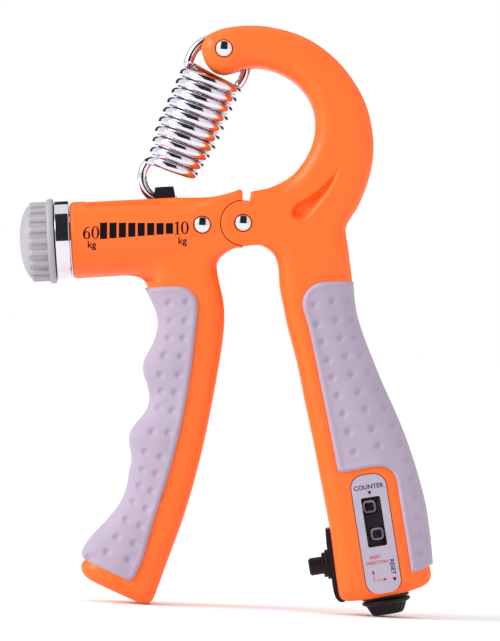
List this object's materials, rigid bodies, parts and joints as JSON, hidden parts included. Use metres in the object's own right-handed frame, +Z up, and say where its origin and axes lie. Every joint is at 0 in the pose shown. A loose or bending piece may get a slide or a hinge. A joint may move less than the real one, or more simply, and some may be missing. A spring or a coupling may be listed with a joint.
{
  "type": "hand grip strengthener",
  "caption": "Spring hand grip trainer with two padded levers on one pivot, a knob that sets the force along a barrel, and a squeeze counter.",
  "frame": {"origin": "under the middle of the part's box, on the surface that it stands on", "axes": "+Z up along the levers' length, +X from the knob to the counter lever, -Y the front face with the scale and counter, +Y the back"},
  "size_m": [0.1172, 0.0232, 0.1584],
  "materials": {
    "orange_shell": "satin moulded nylon",
    "soft_pad": "matt soft-touch rubber with dimples",
    "knob_plastic": "matt moulded plastic",
    "black_plastic": "satin moulded plastic",
    "white_plastic": "moulded acetal",
    "label": "matt printed label",
    "lens": "clear polished window",
    "chrome": "bright chrome plate",
    "steel": "zinc plated",
    "brass": "machined"
  },
  "bodies": {
    "left_handle": {"left_front_shell": "orange_shell", "left_rear_shell": "orange_shell", "left_grip_pad": "soft_pad", "left_shell_screw_1": "steel", "left_shell_screw_2": "steel", "screw_end_pin": "chrome", "pivot_pin": "chrome", "screw_end_bearing": "brass", "barrel_collar": "chrome", "thrust_washer": "steel"},
    "knob": {"tension_knob": "knob_plastic", "lead_screw": "steel", "retaining_clip": "steel"},
    "slider": {"slider_nut": "black_plastic", "thread_insert": "brass"},
    "right_lever": {"right_front_shell": "orange_shell", "right_rear_shell": "orange_shell", "right_grip_pad": "soft_pad", "right_shell_screw_1": "steel", "right_shell_screw_2": "steel", "spring_pin": "chrome", "counter_label": "label", "counter_lens": "lens", "counter_frame": "white_plastic", "plunger_guide": "black_plastic", "plunger_spring": "steel"},
    "loop": {"spring_loop": "chrome"},
    "spring": {"spring_coil": "chrome"},
    "hook": {"spring_hook": "chrome"},
    "plunger": {"plunger": "black_plastic"},
    "units": {"units_wheel": "black_plastic"},
    "tens": {"tens_wheel": "black_plastic"},
    "transfer": {"transfer_pinion": "brass"},
    "reset": {"reset_knob": "black_plastic", "reset_axle": "steel"}
  },
  "joints": [
    {"name": "slider_travel", "type": "slide", "parent": "left_handle", "child": "slider", "axis": [0.9944, 0, 0.1059], "range_m": [-0.0161, 0]},
    {"name": "knob_turn", "type": "hinge", "parent": "left_handle", "child": "knob", "pos_m": [-0.04342, 0, 0.09774], "axis": [-0.9944, 0, -0.1059], "range_deg": [-4640, 0]},
    {"name": "squeeze", "type": "hinge", "parent": "left_handle", "child": "right_lever", "pos_m": [0.00207, 0, 0.10469], "axis": [0, 1, 0], "range_deg": [0, 22], "stiffness_Nm_per_rad": 12, "springref_deg": -11.46},
    {"name": "spring_swing", "type": "hinge", "parent": "right_lever", "child": "loop", "pos_m": [-0.00566, 0, 0.15154], "axis": [0, 1, 0], "range_deg": [0, 16.2]},
    {"name": "spring_preload", "type": "slide", "parent": "loop", "child": "spring", "axis": [-0.3177, 0, -0.9482], "range_m": [0, 0.0088], "deforming": ["spring_coil"]},
    {"name": "spring_stretch", "type": "slide", "parent": "spring", "child": "hook", "axis": [-0.0405, 0, -0.9992], "range_m": [0, 0.0086], "deforming": ["spring_coil"]},
    {"name": "plunger_press", "type": "slide", "parent": "right_lever", "child": "plunger", "axis": [0.9779, 0, 0.2093], "range_m": [0, 0.003], "stiffness_N_per_m": 150, "springref_m": -0.003, "deforming": ["plunger_spring"]},
    {"name": "units_turn", "type": "hinge", "parent": "right_lever", "child": "units", "pos_m": [0.04244, -0.001, 0.02264], "axis": [-0.2093, 0, 0.9779], "continuous": true},
    {"name": "tens_turn", "type": "hinge", "parent": "right_lever", "child": "tens", "pos_m": [0.04244, -0.001, 0.02264], "axis": [-0.2093, 0, 0.9779], "continuous": true},
    {"name": "transfer_turn", "type": "hinge", "parent": "right_lever", "child": "transfer", "pos_m": [0.04794, -0.001, 0.0275], "axis": [-0.2093, 0, 0.9779], "continuous": true},
    {"name": "reset_turn", "type": "hinge", "parent": "right_lever", "child": "reset", "pos_m": [0.04244, -0.001, 0.02264], "axis": [-0.2093, 0, 0.9779], "continuous": true}
  ],
  "couplings": [
    {"joint": "knob_turn", "follows": "slider_travel", "rad_per_m": 5026.5},
    {"joint": "spring_swing", "follows": "slider_travel", "rad_per_m": -17.477},
    {"joint": "spring_preload", "follows": "slider_travel", "ratio": -0.54437},
    {"joint": "spring_stretch", "follows": "squeeze", "m_per_rad": 0.022171},
    {"joint": "tens_turn", "follows": "units_turn", "ratio": 0.1},
    {"joint": "transfer_turn", "follows": "units_turn", "ratio": -0.25}
  ]
}
